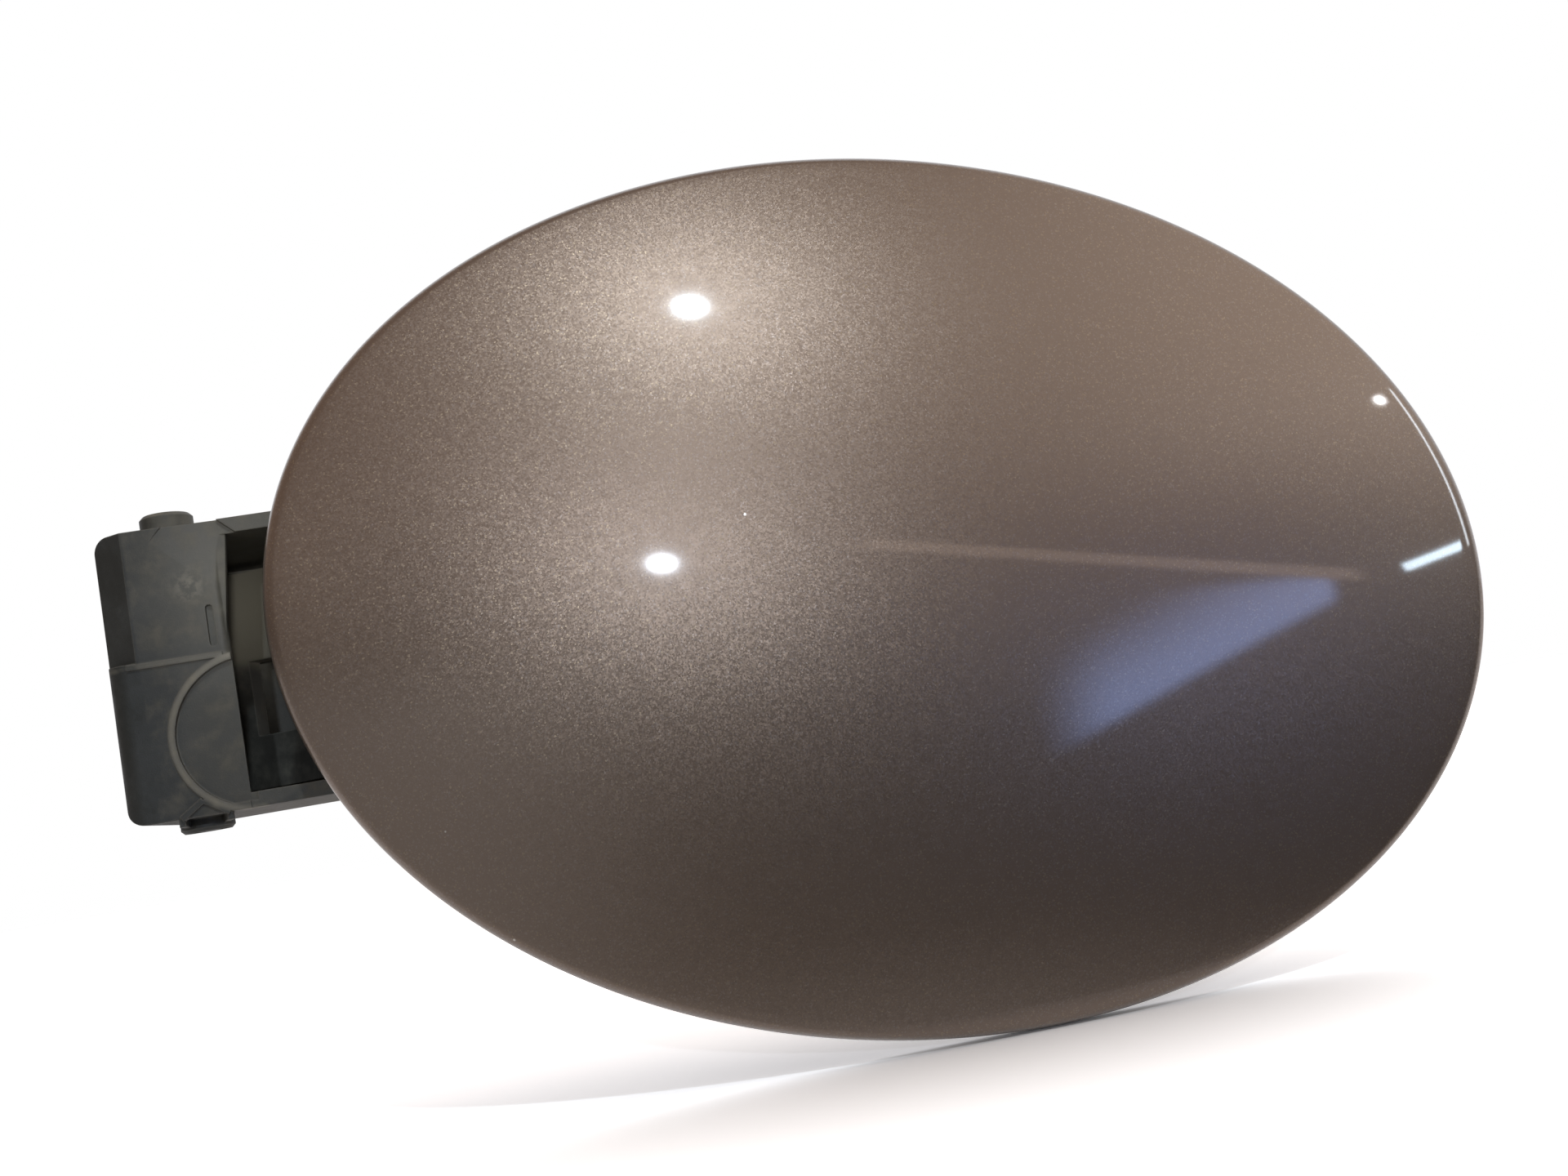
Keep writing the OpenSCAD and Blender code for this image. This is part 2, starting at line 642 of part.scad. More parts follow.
// Three screws that hold the arm to the door, driven from behind.
module arm_screws() {
    reach = -pad_back + plate_front + nut_h + 1.5;
    color("#77777a") on_door() for (p = arm_screws_at)
        translate([seat_middle[0] + p[0], seat_middle[1] + p[1], pad_back - seat_gap])
            pan_screw(arm_screw_d, arm_head_d, arm_head_h, reach);
}

// Flanged plastic bush, flange at z = 0 and up, body below.
module bush() {
    difference() {
        union() {
            cylinder(r = bush_flange_r, h = bush_flange);
            translate([0, 0, -bush_l]) cylinder(r = bush_out, h = bush_l + overcut / 2);
        }
        translate([0, 0, -bush_l - overcut])
            cylinder(r = bush_in, h = bush_l + bush_flange + 2 * overcut);
    }
}

module upper_bush() {
    color("#d8d4c4") at_pin() translate([0, 0, knuckle_z + seat_gap]) bush();
}

module lower_bush() {
    color("#d8d4c4") at_pin() mirror([0, 0, 1]) translate([0, 0, knuckle_z + seat_gap]) bush();
}

// Directions along the spring's wire.
function unit(v) = v / norm(v);
function spring_way(i) =
    unit(spring_path[min(i + 1, len(spring_path) - 1)] - spring_path[max(i - 1, 0)]);

// A side direction for every ring, carried along the wire so that the tube does not twist.
function carried(side, way) = unit(side - (side * way) * way);
spring_sides_at = [for (i = 0, s = carried([1, 0, 0], spring_way(0)); i < len(spring_path);
    i = i + 1, s = carried(s, spring_way(min(i, len(spring_path) - 1)))) s];

// Steel torsion spring on the pin, which turns the door shut.
module torsion_spring() {
    n = len(spring_path);
    points = [for (i = [0:n - 1]) let (w = spring_way(i), u = spring_sides_at[i], v = cross(w, u))
        for (k = [0:spring_sides - 1]) let (a = 360 * k / spring_sides)
            spring_path[i] + wire_d / 2 * (cos(a) * u + sin(a) * v)];
    sides = [for (i = [0:n - 2], k = [0:spring_sides - 1]) let (
            a = i * spring_sides + k, b = i * spring_sides + (k + 1) % spring_sides)
        each [[a, a + spring_sides, b + spring_sides], [a, b + spring_sides, b]]];
    caps = [[for (k = [0:spring_sides - 1]) k],
        [for (k = [spring_sides - 1:-1:0]) (n - 1) * spring_sides + k]];
    color("#9a9a96") at_pin() polyhedron(points, concat(sides, caps), convexity = 8);
}

// Plastic sleeve on the pin that centres the spring.
module spring_sleeve() {
    h = spring_top + spring_bottom - 2 * free_gap;
    color("#d8d4c4") at_pin() translate([0, 0, -spring_bottom + free_gap])
        tube(bush_in + spool_wall, bush_in, h);
}

// Steel hinge pin with a groove for its clip.
module hinge_pin() {
    color("#a8a8a4") at_pin() difference() {
        translate([0, 0, pin_tail]) chamfered_rod(pin_r, pin_top - pin_tail, pin_chamfer);
        translate([0, 0, clip_z - clip_t - run_gap])
            tube(pin_r + overcut, pin_r - groove_d, clip_t + 2 * run_gap);
    }
}

// Spring-steel clip in the pin's groove, in the recess of the lower boss.
module pin_clip() {
    color("#4a4a48") at_pin() translate([0, 0, clip_z - clip_t]) difference() {
        tube(clip_r, pin_r - groove_d + run_gap, clip_t);
        translate([-pin_r * 0.7, 0, -overcut])
            cube([pin_r * 1.4, clip_r + overcut, clip_t + 2 * overcut]);
    }
}

// Disc of the half-round line on the front wall, seen from the front and cut off to the right
// and below.
module arc_disc(r, right, low) {
    intersection() {
        translate([housing_right + arc_in, -arc_drop]) circle(r);
        translate([-housing_left, low]) square([housing_left + right, housing_h]);
    }
}

// Outline of the housing's box seen from the front, with its two left corners rounded.
module box_outline(right) {
    left = -housing_left;
    translate([left + top_corner, housing_z - top_corner]) circle(top_corner);
    translate([left + low_corner, -housing_z + low_corner]) circle(low_corner);
    translate([left + top_corner, 0]) square([right - left - top_corner, housing_z]);
    translate([left + low_corner, -housing_z]) square([right - left - low_corner, housing_z]);
    translate([left, -housing_z + low_corner])
        square([low_corner, housing_h - top_corner - low_corner]);
}

// Walls of the housing's box in plan, without its top and bottom.
module box_walls() {
    left = -housing_left;
    front = -housing_front;
    edge_r = wall_t / 2;
    fill = inner_fill + 0.1;
    difference() {
        union() {
            translate([left + front_corner, front])
                square([housing_right - edge_r - left - front_corner, wall_t]);
            translate([left, front + front_corner])
                square([side_t, housing_back - front - front_corner]);
            translate([left + front_corner, front + front_corner]) circle(front_corner);
            translate([housing_right - edge_r, front + edge_r]) circle(edge_r);
        }
        translate([left + side_t, front + wall_t]) square([housing_back, housing_back]);
    }
    translate([left + side_t - 0.1, front + wall_t - 0.1]) polygon([[0, 0], [fill, 0], [0, fill]]);
}

// Flare on the upper right edge of the front wall.
module front_flare() {
    root = housing_right - wall_t * 0.7;
    low = parting_z + ridge_w;
    wide = housing_right + flare_w;
    intersection() {
        linear_extrude(inside_z + 0.1) polygon([[root, -housing_front],
            [wide, -housing_front + flare_slope * (wide - root)],
            [wide, -housing_front + wall_t], [root, -housing_front + wall_t]]);
        rotate([90, 0, 0]) linear_extrude(housing_front + overcut)
            polygon([[root - overcut, low], [housing_right - 0.5, low], [wide, inside_z + 0.1],
                [root - overcut, inside_z + 0.1]]);
    }
}

// Two ribs that run from the lower edge of the front wall back to the lower boss, with their
// raised ends on the wall.
module gusset() {
    apex = [boss_r * 0.4, -housing_z + wall_t];
    for (foot = [-boss_r * 0.45, boss_r * 1.3]) {
        turn = atan2(apex[1] + housing_z, apex[0] - foot);
        translate([foot, -housing_front + wall_t / 2, -housing_z]) rotate([0, -turn, 0])
            translate([0, -wall_t / 2 - ridge_h, -gusset_t / 2])
                cube([norm([apex[0] - foot, wall_t]), wall_t / 2 + ridge_h, gusset_t]);
        back = [sign(foot) * boss_r * 0.7, 0];
        way = atan2(back[1] + housing_front, back[0] - foot);
        translate([foot, -housing_front, -housing_z - gusset_h]) rotate([0, 0, way])
            translate([0.2, -gusset_t / 2, 0])
                cube([norm([back[0] - foot, housing_front]) - 0.2, gusset_t, gusset_h + 0.2]);
    }
}

// Black plastic housing: a box that is open to the right, with bosses for the pin
// and a back wall that runs on as a screw flange.
module hinge_housing() {
    left = -housing_left;
    front = -housing_front;
    edge_r = wall_t / 2;
    back = housing_back - flange_t;
    flange_right = screw_reach + flange_edge;
    slot_x = housing_right - 2.15;
    slot_z = parting_z + ridge_w + slot_l / 2 + 0.8;
    cheek = [[left + front_corner, front], [cheek_reach, front], [cheek_reach, cheek_back],
        [flange_right, back], [flange_right, housing_back], [left, housing_back],
        [left, front + front_corner]];
    color(black_plastic) at_pin() difference() {
        union() {
            intersection() {
                union() {
                    for (z = [-housing_z, inside_z]) translate([0, 0, z]) linear_extrude(wall_t) {
                        polygon(cheek);
                        translate([left + front_corner, front + front_corner]) circle(front_corner);
                    }
                    translate([0, 0, -inside_z - 0.1]) linear_extrude(2 * inside_z + 0.2) box_walls();
                    translate([(flange_right + left) / 2, housing_back, 0]) rotate([90, 0, 0])
                        rounded_plate(flange_right - left, housing_h, flange_r, flange_t);
                }
                translate([0, housing_back, 0]) rotate([90, 0, 0])
                    linear_extrude(housing_back - front + overcut) box_outline(flange_right + overcut);
            }
            front_flare();
            gusset();
            translate([0, 0, inside_z])
                chamfered_rod(boss_r, boss_top_h + wall_t, boss_edge);
            translate([0, 0, boss_foot])
                chamfered_rod(boss_r, boss_bottom_h + wall_t, boss_edge);
            translate([0, front + edge_r, 0]) rotate([90, 0, 0]) linear_extrude(edge_r + ridge_h)
                arc_disc(arc_r + ridge_w / 2, housing_right, -housing_z);
            translate([left + front_corner, front - ridge_h, parting_z])
                cube([housing_right - edge_r - left - front_corner, ridge_h + edge_r, ridge_w * 0.8]);
        }
        translate([0, 0, boss_foot - overcut])
            cylinder(r = pin_r + run_gap, h = pin_top + run_gap - boss_foot + overcut);
        translate([0, 0, boss_foot - overcut])
            cylinder(r = clip_r + free_gap / 2, h = clip_recess + overcut);
        translate([0, front + arc_sink, 0]) rotate([90, 0, 0]) linear_extrude(wall_t)
            arc_disc(arc_r - ridge_w / 2, housing_right + overcut, ridge_w - housing_z);
        translate([left, front, parting_z + ridge_w]) linear_extrude(housing_z)
            polygon([[-overcut, bevel_d * (1 + overcut / bevel_w)],
                [bevel_w * (1 + overcut / bevel_d), -overcut], [-overcut, -overcut]]);
        translate([housing_right - facet_in, front, housing_z - facet_drop])
            rotate([0, facet_angle, 0]) rotate([-facet_tilt, 0, 0])
                translate([-facet_drop - 1, -wall_t, 0]) cube([2 * facet_drop, wall_t, housing_right]);
        translate([slot_x, front + slot_d, slot_z]) rotate([90, 0, 0])
            rounded_plate(slot_w, slot_l, slot_w * 0.45, slot_d + overcut);
        for (z = [-1, 1]) translate([screw_reach, back - overcut, z * screw_gap / 2])
            rotate([-90, 0, 0]) cylinder(r = sleeve_r + run_gap, h = flange_t + 2 * overcut);
    }
}

// Steel sleeves in the flange that take the clamping force of the body screws.
module mount_sleeves() {
    color("#a8a8a4") for (z = [-1, 1]) translate([0, -flange_t, z * screw_gap / 2])
        rotate([-90, 0, 0]) tube(sleeve_r, screw_hole_r, flange_t);
}

// Rubber stop behind the front wall that ends the door's swing.
module open_stop() {
    color("#1c1c1c") at_pin()
        translate([housing_right - wall_t / 2 - stop_w, -housing_front + wall_t + seat_gap,
            spring_top + stop_rise]) cube([stop_w, stop_t, stop_h]);
}

// Steel striker: a plate screwed to the latch seat, with a tongue whose eye takes the lock pin.
module latch_striker() {
    brace = tongue_w / 2;
    plate = [latch_seat_w - 2 * striker_rim, latch_seat_h - 2 * striker_rim];
    color("#8f9090") on_door() translate([latch_middle[0], latch_middle[1], striker_back])
        difference() {
            union() {
                rounded_plate(plate[0], plate[1], latch_seat_r / 2, striker_t);
                translate([tongue_x, -tongue_w / 2, tongue_tip])
                    cube([striker_t, tongue_w, striker_t / 2 - tongue_tip]);
                translate([tongue_x, 0, tongue_tip]) rotate([0, 90, 0])
                    cylinder(d = tongue_w, h = striker_t);
                translate([tongue_x + 0.1, striker_t / 2, 0.1]) rotate([90, 0, 0])
                    linear_extrude(striker_t) polygon([[0, 0], [0, -brace], [-brace, 0]]);
            }
            translate([tongue_x - overcut, 0, tongue_tip]) rotate([0, 90, 0])
                cylinder(r = eye_r, h = striker_t + 2 * overcut);
            for (p = striker_screws_at) translate([p[0], p[1], -overcut])
                cylinder(r = striker_hole_r, h = striker_t + 2 * overcut);
        }
}

module striker_screws() {
    reach = -striker_back - latch_back + pan_t + striker_nut_h + 2 * seat_gap + 1.2;
    color("#77777a") on_door() for (p = striker_screws_at)
        translate([latch_middle[0] + p[0], latch_middle[1] + p[1], striker_back - seat_gap])
            pan_screw(striker_screw_d, striker_head_d, striker_head_h, reach);
}

// Two nuts behind the latch seat's sheet.
module striker_nuts() {
    color("#a9a9a4") on_door() for (p = striker_screws_at)
        translate([latch_middle[0] + p[0], latch_middle[1] + p[1], -latch_back + pan_t + seat_gap])
            difference() {
                cylinder(d = striker_nut_d, h = striker_nut_h, $fn = 6);
                translate([0, 0, -overcut])
                    cylinder(r = striker_screw_d / 2 + run_gap, h = striker_nut_h + 2 * overcut);
            }
}

// Rubber buffer pressed through the inner panel, which meets the edge of the filler pocket.
module buffer() {
    r = buffer_d / 2;
    edge = 0.2 * buffer_h;
    foot = pan_floor - buffer_h;
    tip = floor_front + buffer_barb_h;
    color("#1c1c1c") rotate_extrude() polygon([[0, foot], [r - edge, foot], [r, foot + edge],
        [r, pan_floor - seat_gap], [buffer_neck, pan_floor - seat_gap],
        [buffer_neck, floor_front + seat_gap], [buffer_barb, floor_front + seat_gap],
        [buffer_neck * 0.75, tip], [0, tip]]);
}

module upper_buffer() {
    on_oval() translate([buffer_x, buffer_y, 0]) buffer();
}

module lower_buffer() {
    on_oval() translate([buffer_x, -buffer_y, 0]) buffer();
}

// Plastic holder where the filler cap hangs while the tank is filled: a base with two arms
// that end in lips, open at the top.
module cap_holder() {
    arm_l = holder_h - 2 * holder_r;
    arm_z = -(holder_d + holder_t) / 2;
    color(black_plastic) on_door() translate([holder_middle[0], holder_middle[1], holder_front])
        difference() {
            union() {
                translate([0, 0, -holder_t]) rounded_plate(holder_w, holder_h, holder_r, holder_t);
                for (x = [-1, 1]) {
                    translate([x * (holder_w - holder_t) / 2, 0, arm_z])
                        cube([holder_t, arm_l, holder_d], center = true);
                    translate([x * (holder_w - holder_lip) / 2, 0, -holder_d])
                        cube([holder_lip, arm_l, holder_t], center = true);
                }
                translate([0, (holder_t - arm_l) / 2, arm_z])
                    cube([holder_w, holder_t, holder_d], center = true);
            }
            for (p = holder_rivets_at) translate([p[0], p[1], -holder_t - overcut])
                cylinder(r = rivet_d / 2 + 0.1, h = holder_t + 2 * overcut);
        }
}

module holder_rivets() {
    grip = holder_t + pan_t + 3 * seat_gap;
    color("#24251f") on_door() for (p = holder_rivets_at)
        translate([holder_middle[0] + p[0], holder_middle[1] + p[1],
            holder_front - holder_t - seat_gap]) {
            translate([0, 0, -rivet_head_h]) cylinder(r = rivet_head_r, h = rivet_head_h);
            cylinder(d = rivet_d, h = grip + rivet_end_h / 2);
            translate([0, 0, grip])
                cylinder(r1 = rivet_end_r, r2 = rivet_end_r * 0.45, h = rivet_end_h);
        }
}

outer_panel();
inner_panel();
reinforcement_plate();
weld_nuts();
mastic_pads();
hinge_arm();
arm_screws();
upper_bush();
lower_bush();
torsion_spring();
spring_sleeve();
hinge_pin();
pin_clip();
hinge_housing();
mount_sleeves();
open_stop();
latch_striker();
striker_screws();
striker_nuts();
upper_buffer();
lower_buffer();
cap_holder();
holder_rivets();
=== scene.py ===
# Car fuel door, dressed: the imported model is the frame, and each piece gets its finish here.
import math
import bmesh
import bpy
from mathutils import Matrix, Vector


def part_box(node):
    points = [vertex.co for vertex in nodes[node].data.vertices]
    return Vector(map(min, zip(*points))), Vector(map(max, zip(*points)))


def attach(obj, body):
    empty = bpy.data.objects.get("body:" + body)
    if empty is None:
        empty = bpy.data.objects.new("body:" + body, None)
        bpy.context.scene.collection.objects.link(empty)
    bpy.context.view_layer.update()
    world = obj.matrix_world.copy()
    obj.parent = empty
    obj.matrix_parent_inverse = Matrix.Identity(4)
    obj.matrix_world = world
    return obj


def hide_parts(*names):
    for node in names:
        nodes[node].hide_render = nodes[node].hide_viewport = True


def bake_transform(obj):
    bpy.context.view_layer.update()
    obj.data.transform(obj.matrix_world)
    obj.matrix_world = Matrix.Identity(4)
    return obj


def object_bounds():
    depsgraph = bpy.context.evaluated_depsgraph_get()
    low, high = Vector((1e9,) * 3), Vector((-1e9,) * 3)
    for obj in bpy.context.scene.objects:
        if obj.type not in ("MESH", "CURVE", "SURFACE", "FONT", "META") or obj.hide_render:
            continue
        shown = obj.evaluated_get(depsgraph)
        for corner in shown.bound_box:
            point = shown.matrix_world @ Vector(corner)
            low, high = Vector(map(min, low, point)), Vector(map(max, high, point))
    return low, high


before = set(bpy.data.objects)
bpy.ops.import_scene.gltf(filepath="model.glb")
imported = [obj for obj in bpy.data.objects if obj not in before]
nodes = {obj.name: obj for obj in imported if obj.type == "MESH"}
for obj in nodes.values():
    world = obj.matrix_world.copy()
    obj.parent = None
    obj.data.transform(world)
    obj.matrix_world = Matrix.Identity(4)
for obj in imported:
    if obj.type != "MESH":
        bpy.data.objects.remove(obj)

MM = 0.001
cad_low, cad_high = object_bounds()


# Hinge housing: the block that is screwed to the car body. It is moulded in black glass-filled
# nylon with a fine matt grain, and years behind the body panel have left it grey with road dust.
housing_black = (0.0155, 0.0175, 0.015)
housing_grey = (0.036, 0.038, 0.035)
# This pale brown marks road dust. It also serves as painted light on the housing's face and mouth and on
# the arm's bend.
dust_and_painted_light = (0.200, 0.184, 0.140)


class Wire:
    """A value on its way through a finish; sums and products of wires add their Math nodes."""

    def __init__(self, finish, socket):
        self.finish, self.socket = finish, socket

    def math(self, operation, first, second):
        return self.finish.node("ShaderNodeMath", {"operation": operation}, {0: first, 1: second})

    def __add__(self, other): return self.math("ADD", self, other)
    def __radd__(self, other): return self.math("ADD", other, self)
    def __sub__(self, other): return self.math("SUBTRACT", self, other)
    def __rsub__(self, other): return self.math("SUBTRACT", other, self)
    def __mul__(self, other): return self.math("MULTIPLY", self, other)
    def __rmul__(self, other): return self.math("MULTIPLY", other, self)


class Finish:
    """A material being mixed: its shader's sockets hold the even values, and wires feed the rest."""

    def __init__(self, name, even=None):
        self.material = bpy.data.materials.new(name)
        self.material.use_nodes = True
        self.tree = self.material.node_tree
        self.shader = self.tree.nodes["Principled BSDF"]
        for socket, value in (even or {}).items():
            self.shader.inputs[socket].default_value = value

    def node(self, kind, settings=None, sockets=None, out=0):
        made = self.tree.nodes.new(kind)
        for key, value in (settings or {}).items():
            setattr(made, key, value)
        for key, value in (sockets or {}).items():
            if isinstance(value, Wire):
                self.tree.links.new(value.socket, made.inputs[key])
            else:
                made.inputs[key].default_value = value
        return Wire(self, made.outputs[out])

    def feed(self, wires):
        for socket, wire in wires.items():
            self.tree.links.new(wire.socket, self.shader.inputs[socket])

    def place(self):
        return self.node("ShaderNodeTexCoord", out="Object")

    def noise(self, size, detail=3.0, rough=0.55):
        """Cloudy noise whose lumps are about size metres across."""
        return self.node("ShaderNodeTexNoise", {}, {"Vector": self.place(), "Scale": 1 / size,
                                                    "Detail": detail, "Roughness": rough})

    def span(self, wire, low, high):
        """Stretches a wire so that low becomes 0 and high becomes 1, with soft ends."""
        return self.node("ShaderNodeMapRange", {"interpolation_type": "SMOOTHSTEP"},
                         {"Value": wire, "From Min": low, "From Max": high})

    def blend(self, share, first, second):
        return self.node("ShaderNodeMix", {"data_type": "RGBA"},
                         {0: share, 6: self.shade(first), 7: self.shade(second)}, out=2)

    def shade(self, colour):
        return colour if isinstance(colour, Wire) else (*colour, 1)

    def dot(self, first, second):
        return self.node("ShaderNodeVectorMath", {"operation": "DOT_PRODUCT"},
                         {0: first, 1: second}, out="Value")

    def facing(self):
        """The surface's own direction."""
        return self.node("ShaderNodeNewGeometry", out="Normal")

    def part_of(self, vector, axis):
        return self.node("ShaderNodeSeparateXYZ", {}, {0: vector}, out=axis)

    def soft_edges(self, radius, grain, depth):
        """Rounds the edges by radius and adds a grain of the given depth, both as surface relief."""
        rounded = self.node("ShaderNodeBevel", {"samples": 4}, {"Radius": radius})
        bumped = self.node("ShaderNodeBump", {}, {"Strength": 1.0, "Distance": depth,
                                                  "Height": grain, "Normal": rounded})
        self.feed({"Normal": bumped})
        return rounded

    def worn(self, rounded):
        """Where an edge has been rubbed: one on the edges and nothing on the flats."""
        return self.span(1 - self.dot(rounded, self.facing()), 0.01, 0.12)


def dress(finish, *names):
    for name in names:
        slots = nodes[name].data.materials
        slots.clear()
        slots.append(finish.material)


def moulded_black(name, dark, light, dust, gathered_dust_and_light):
    """Matt black moulded plastic, hazed in patches, dusty on top and rubbed at its edges. The given mask
    adds pale brown, as dust and as painted light, or takes it away as painted shade."""
    haze_size, streak_size, film_size = 7 * MM, 1.2 * MM, 3.5 * MM
    grain_size, grain_depth, edge_radius = 0.22 * MM, 0.02 * MM, 0.35 * MM
    dust_on_top, rubbed_share, rubbed_colour = 0.5, 0.6, (0.17, 0.162, 0.135)
    finish = Finish(name, {"Specular IOR Level": 0.45})
    haze = finish.span(finish.noise(haze_size), 0.35, 0.7)
    streaks = finish.span(finish.noise(streak_size, 5.0), 0.4, 0.75)
    body = finish.blend(haze * 0.6 + streaks * 0.25, dark, light)
    up = finish.span(finish.part_of(finish.facing(), "Z"), 0.3, 0.95)
    film = finish.span(finish.noise(film_size, 6.0, 0.65), 0.42, 0.78)
    rounded = finish.soft_edges(edge_radius, finish.noise(grain_size, 2.0), grain_depth)
    dusted_and_lit = finish.blend(dust * film + dust_on_top * up * film + gathered_dust_and_light(finish), body, dust_and_painted_light)
    finish.feed({"Base Color": finish.blend(rubbed_share * finish.worn(rounded), dusted_and_lit, rubbed_colour),
                 "Roughness": 0.55 + 0.3 * film})
    return finish


housing_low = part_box("hinge_housing")[0]
pin_low, pin_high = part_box("hinge_pin")
pin = Vector(((pin_low.x + pin_high.x) / 2, (pin_low.y + pin_high.y) / 2, 0))
arc_middle = Vector((pin.x + 9.6 * MM, 0, -10.1 * MM))
arc_radius = 11.2 * MM
line_width = 0.9 * MM
parting_height = 1.4 * MM
bevel_width = 4.4 * MM
scuff_middle = Vector((pin.x + 3.5 * MM, 0, 12 * MM))
scuff_reach = 3.6 * MM


def dust_and_light_on_the_box(finish):
    """Pale marks on the box, partly dust and partly painted light. Painted light grows toward the mouth's
    right edge and behind the front wall. The marks are also lighter higher up, along the raised lines, in
    the arc and on one scuff. The left bevel is painted darker as shade."""
    place = finish.place()
    rightward, height = finish.part_of(place, "X"), finish.part_of(place, "Z")
    # Painted light, with some dust: lighter toward the mouth's right edge and, further on, behind the front
    # wall, as if light fell in from the right.
    toward_mouth = finish.span(rightward, pin.x - 5 * MM, pin.x + 9 * MM)
    upper = finish.span(height, -6 * MM, 12 * MM)
    depth = finish.part_of(place, "Y")
    deep = finish.span(depth, housing_low.y + 1 * MM, housing_low.y + 7 * MM)
    outside = finish.span(depth, housing_low.y + 6 * MM, housing_low.y + 4 * MM)
    flat = finish.node("ShaderNodeVectorMath", {"operation": "MULTIPLY"}, {0: place, 1: (1, 0, 1)})
    away = finish.node("ShaderNodeVectorMath", {"operation": "DISTANCE"}, {0: flat, 1: arc_middle},
                       out="Value")
    from_scuff = finish.node("ShaderNodeVectorMath", {"operation": "DISTANCE"}, {0: flat, 1: scuff_middle},
                             out="Value")
    streaky = finish.span(finish.noise(0.9 * MM, 4.0), 0.40, 0.62)
    scuff = finish.span(from_scuff, scuff_reach, 0.4 * MM) * streaky
    round_line = finish.span(away, arc_radius - line_width, arc_radius) \
        * finish.span(away, arc_radius + line_width, arc_radius) \
        * finish.span(rightward, arc_middle.x + 1 * MM, arc_middle.x)
    within = finish.span(away, arc_radius, arc_radius - line_width)
    level_line = finish.span(height, parting_height - line_width, parting_height) \
        * finish.span(height, parting_height + line_width, parting_height)
    bevel_end = housing_low.x + bevel_width
    # Painted shade: the left bevel is made darker, as it turns away from the light.
    left = finish.span(rightward, bevel_end + 0.6 * MM, bevel_end - 0.4 * MM)
    return toward_mouth * (0.08 + 0.17 * upper + 0.10 * deep) + 0.08 * upper - 0.3 * left \
        + outside * (0.60 * round_line + 0.32 * level_line + 0.10 * within + 0.35 * scuff)


dress(moulded_black("housing_plastic", housing_black, housing_grey, 0.32, dust_and_light_on_the_box), "hinge_housing")


# Hinge pin, its clip and the sleeves in the screw holes: turned and stamped steel. The sleeves
# have a thin zinc coat gone slightly dull, and pin and clip are darkened by phosphating.
def coated_steel(name, colour, roughness):
    cloud_size, brush_size, brush_depth, edge_radius = 4 * MM, 0.35 * MM, 0.004 * MM, 0.15 * MM
    finish = Finish(name, {"Metallic": 1.0})
    cloud = finish.noise(cloud_size, 4.0)
    finish.soft_edges(edge_radius, finish.noise(brush_size, 2.0), brush_depth)
    duller = tuple(0.72 * c for c in colour)
    finish.feed({"Base Color": finish.blend(finish.span(cloud, 0.35, 0.7), colour, duller),
                 "Roughness": roughness + 0.18 * cloud})
    return finish


zinc = coated_steel("zinc_steel", (0.60, 0.59, 0.55), 0.26)
phosphated = coated_steel("dark_steel", (0.14, 0.14, 0.135), 0.42)
dress(zinc, "mount_sleeves")
dress(phosphated, "hinge_pin", "pin_clip")


# Rubber stop: a moulded block of black rubber, seated in the housing behind its front wall. The
# opened arm comes to rest against it.
def rubber_finish(name):
    bloom_size, grain_size, grain_depth, edge_radius = 2 * MM, 0.3 * MM, 0.02 * MM, 0.3 * MM
    black, bloomed = (0.016, 0.016, 0.016), (0.045, 0.043, 0.04)
    finish = Finish(name)
    bloom = finish.span(finish.noise(bloom_size, 5.0), 0.4, 0.75)
    finish.soft_edges(edge_radius, finish.noise(grain_size, 3.0), grain_depth)
    finish.feed({"Base Color": finish.blend(bloom, black, bloomed),
                 "Roughness": 0.72 + 0.2 * bloom})
    return finish


rubber = rubber_finish("rubber")
dress(rubber, "open_stop")


# Bushes and spring sleeve: turned from natural acetal, creamy and yellowed in patches. The bushes
# are pressed into the arm's knuckles, and the sleeve keeps the spring off the pin.
def natural_plastic(name):
    tint_size, grain_size, grain_depth, edge_radius = 3 * MM, 0.5 * MM, 0.004 * MM, 0.2 * MM
    fresh, yellowed = (0.70, 0.66, 0.55), (0.58, 0.52, 0.41)
    finish = Finish(name)
    tint = finish.noise(tint_size)
    finish.soft_edges(edge_radius, finish.noise(grain_size), grain_depth)
    finish.feed({"Base Color": finish.blend(tint, fresh, yellowed),
                 "Roughness": 0.3 + 0.2 * tint})
    return finish


dress(natural_plastic("bush_plastic"), "upper_bush", "lower_bush", "spring_sleeve")


# Torsion spring: oiled spring steel, wound cold round the sleeve. Its upper end rests on the
# housing and its lower end is hooked behind the arm, so it winds up as the door opens.
spring_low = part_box("torsion_spring")[0]
wire_radius = 0.7 * MM
coil_radius = 4 * MM
coil_top, coil_bottom = 2.1 * MM, -8.1 * MM
left_end = spring_low.x - pin.x + wire_radius
right_end, leg_end = 3 * MM, 13 * MM
coil_turns, steps_a_turn = 5.5, 28
wire_bend, hook = 1 * MM, 5 * MM


def wire_run():
    """The wire's middle line: upper leg, five and a half turns, lower leg with its hook."""
    count = int(coil_turns * steps_a_turn)
    coil = [Vector((coil_radius * math.cos(math.pi + 2 * math.pi * i / steps_a_turn),
                    coil_radius * math.sin(math.pi + 2 * math.pi * i / steps_a_turn),
                    coil_top + (coil_bottom - coil_top) * i / count)) for i in range(count + 1)]
    first = [Vector((left_end, leg_end, coil_top + 3 * wire_bend)),
             Vector((left_end, leg_end, coil_top + wire_bend)),
             Vector((left_end, leg_end - wire_bend, coil_top)),
             Vector((-coil_radius, wire_bend, coil_top))]
    last = [Vector((coil_radius, wire_bend, coil_bottom)),
            Vector((right_end, leg_end - wire_bend, coil_bottom)),
            Vector((right_end, leg_end, coil_bottom - wire_bend)),
            Vector((right_end, leg_end, coil_bottom - hook))]
    return [pin + p for p in first + coil + last]


